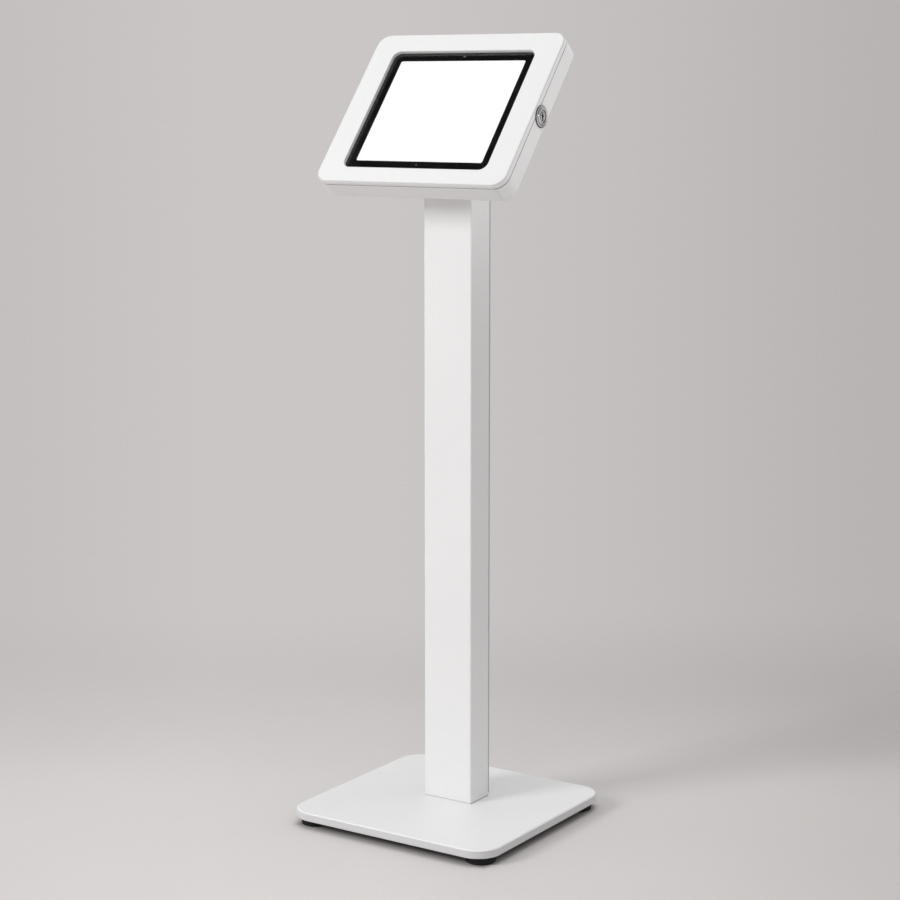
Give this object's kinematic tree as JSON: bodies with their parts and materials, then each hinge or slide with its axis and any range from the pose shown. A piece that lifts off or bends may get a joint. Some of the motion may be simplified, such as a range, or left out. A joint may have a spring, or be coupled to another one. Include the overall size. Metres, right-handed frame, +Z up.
{
  "type": "tablet kiosk stand",
  "caption": "Floor-standing kiosk for a tablet: tilted lockable frame head with hinged cover, boxed column with a rear cable cover, rounded base plate on levelling feet.",
  "frame": {"origin": "centre of the footprint, on the floor under the feet", "axes": "+Z up along the column, +X to the right of a person facing the screen, +Y to the back of the stand"},
  "size_m": [0.338, 0.324, 1.1158],
  "materials": {
    "powder_white": "fine satin powder coat",
    "zinc_steel": "bright zinc plate",
    "lock_chrome": "polished",
    "lock_plug_steel": "satin",
    "black_rubber": "matte",
    "black_plastic": "fine texture",
    "tablet_aluminium": "bead blasted",
    "tablet_glass": "polished",
    "bezel_black": "printed",
    "display_white": "lit, plain white",
    "battery_core": "matte"
  },
  "bodies": {
    "stand": {"base_bolts": "zinc_steel", "base_plate": "powder_white", "clip_bottom_left": "black_plastic", "clip_bottom_right": "black_plastic", "clip_screws": "zinc_steel", "clip_top_left": "black_plastic", "clip_top_right": "black_plastic", "column": "powder_white", "column_foot_plate": "powder_white", "column_rear_cover": "powder_white", "column_top_plate": "powder_white", "cradle_pads": "black_rubber", "cradle_rail_left": "zinc_steel", "cradle_rail_right": "zinc_steel", "head_bolts": "zinc_steel", "hinge_barrels_tray": "powder_white", "hinge_pins": "zinc_steel", "lock_body": "lock_chrome", "lock_nut": "zinc_steel", "lower_grommet": "black_rubber", "rail_screws": "zinc_steel", "rear_cover_screws": "zinc_steel", "rear_tray": "powder_white", "tablet_bezel": "bezel_black", "tablet_camera": "bezel_black", "tablet_core": "battery_core", "tablet_display": "display_white", "tablet_glass": "tablet_glass", "tablet_sensor": "bezel_black", "tablet_shell": "tablet_aluminium", "tray_grommet": "black_rubber"},
    "cover": {"front_cover": "powder_white", "hinge_barrels_cover": "powder_white", "cover_strike": "zinc_steel"},
    "lock_turning_parts": {"lock_plug": "lock_plug_steel", "lock_cam": "zinc_steel", "cam_screw": "zinc_steel"},
    "foot_front_left": {"foot_pad_front_left": "black_rubber", "foot_stud_front_left": "zinc_steel"},
    "foot_back_left": {"foot_pad_back_left": "black_rubber", "foot_stud_back_left": "zinc_steel"},
    "foot_front_right": {"foot_pad_front_right": "black_rubber", "foot_stud_front_right": "zinc_steel"},
    "foot_back_right": {"foot_pad_back_right": "black_rubber", "foot_stud_back_right": "zinc_steel"},
    "key_power": {"button_power": "tablet_aluminium"},
    "key_volume_up": {"button_volume_up": "tablet_aluminium"},
    "key_volume_down": {"button_volume_down": "tablet_aluminium"}
  },
  "joints": [
    {"name": "cover_hinge", "type": "hinge", "parent": "stand", "child": "cover", "pos_m": [-0.1554, -0.01547, 1.00967], "axis": [0, -0.6347, -0.7727], "range_deg": [0, 100]},
    {"name": "lock_turn", "type": "hinge", "parent": "stand", "child": "lock_turning_parts", "pos_m": [0.143, -0.00748, 1.0035], "axis": [-1, 0, 0], "range_deg": [0, 90]},
    {"name": "foot_screw_front_left", "type": "slide", "parent": "stand", "child": "foot_front_left", "axis": [0, 0, -1], "range_m": [0, 0.005]},
    {"name": "foot_screw_back_left", "type": "slide", "parent": "stand", "child": "foot_back_left", "axis": [0, 0, -1], "range_m": [0, 0.005]},
    {"name": "foot_screw_front_right", "type": "slide", "parent": "stand", "child": "foot_front_right", "axis": [0, 0, -1], "range_m": [0, 0.005]},
    {"name": "foot_screw_back_right", "type": "slide", "parent": "stand", "child": "foot_back_right", "axis": [0, 0, -1], "range_m": [0, 0.005]},
    {"name": "press_power", "type": "slide", "parent": "stand", "child": "key_power", "axis": [0, -0.6347, -0.7727], "range_m": [0, 0.0003], "stiffness_N_per_m": 2000},
    {"name": "press_volume_up", "type": "slide", "parent": "stand", "child": "key_volume_up", "axis": [-1, 0, 0], "range_m": [0, 0.0003], "stiffness_N_per_m": 2000},
    {"name": "press_volume_down", "type": "slide", "parent": "stand", "child": "key_volume_down", "axis": [-1, 0, 0], "range_m": [0, 0.0003], "stiffness_N_per_m": 2000}
  ]
}
